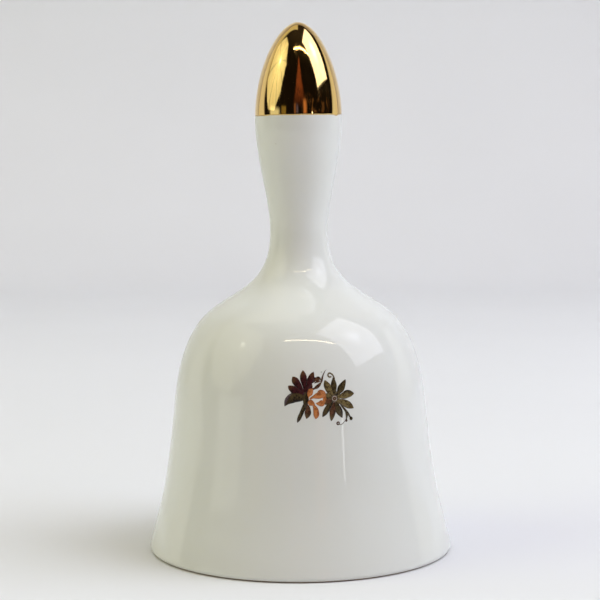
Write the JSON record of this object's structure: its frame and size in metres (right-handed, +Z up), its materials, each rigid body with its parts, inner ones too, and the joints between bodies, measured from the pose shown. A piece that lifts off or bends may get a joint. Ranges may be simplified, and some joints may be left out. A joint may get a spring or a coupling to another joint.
{
  "type": "porcelain hand bell",
  "caption": "White glazed porcelain hand bell with a flared dome, waisted handle, gilded tip, painted floral spray and a ball clapper on a brass chain.",
  "frame": {"origin": "centre of the foot, on the surface that the bell stands on", "axes": "+Z up the bell's axis to the gilded tip, -Y towards the front with the floral spray, +X to its right"},
  "size_m": [0.069, 0.069, 0.1193],
  "materials": {
    "white_porcelain": "clear gloss glaze over white porcelain, foot wiped bare",
    "gold_lustre": "bright liquid gold fired over the glaze",
    "neck_cement": "matt plaster cement",
    "brass_wire": "drawn brass wire, lightly dulled",
    "clapper_porcelain": "glazed porcelain ball"
  },
  "bodies": {
    "bell": {"bell_body": "white_porcelain", "gilt_tip": "gold_lustre", "neck_plug": "neck_cement", "hanger_staple": "brass_wire"},
    "link_1": {"chain_link_1": "brass_wire"},
    "link_2": {"chain_link_2": "brass_wire"},
    "link_3": {"chain_link_3": "brass_wire"},
    "link_4": {"chain_link_4": "brass_wire"},
    "pin": {"clapper_pin": "brass_wire"},
    "clapper": {"clapper_bead": "clapper_porcelain"}
  },
  "joints": [
    {"name": "link_1_on_hanger", "type": "hinge", "parent": "bell", "child": "link_1", "pos_m": [0, 0, 0.05727], "axis": [1, 0, 0], "range_deg": [-11.5, 11.5]},
    {"name": "link_2_on_link_1", "type": "hinge", "parent": "link_1", "child": "link_2", "pos_m": [0, 0, 0.05052], "axis": [0, 1, 0], "range_deg": [-17.5, 17.5]},
    {"name": "link_3_on_link_2", "type": "hinge", "parent": "link_2", "child": "link_3", "pos_m": [0, 0, 0.04377], "axis": [1, 0, 0], "range_deg": [-11.5, 11.5]},
    {"name": "link_4_on_link_3", "type": "hinge", "parent": "link_3", "child": "link_4", "pos_m": [0, 0, 0.03702], "axis": [0, 1, 0], "range_deg": [-17.5, 17.5]},
    {"name": "pin_on_link_4", "type": "hinge", "parent": "link_4", "child": "pin", "pos_m": [0, 0, 0.03027], "axis": [1, 0, 0], "range_deg": [-11.5, 11.5]},
    {"name": "clapper_on_pin", "type": "hinge", "parent": "pin", "child": "clapper", "pos_m": [0, 0, 0.0193], "axis": [0, 0, 1], "continuous": true}
  ]
}
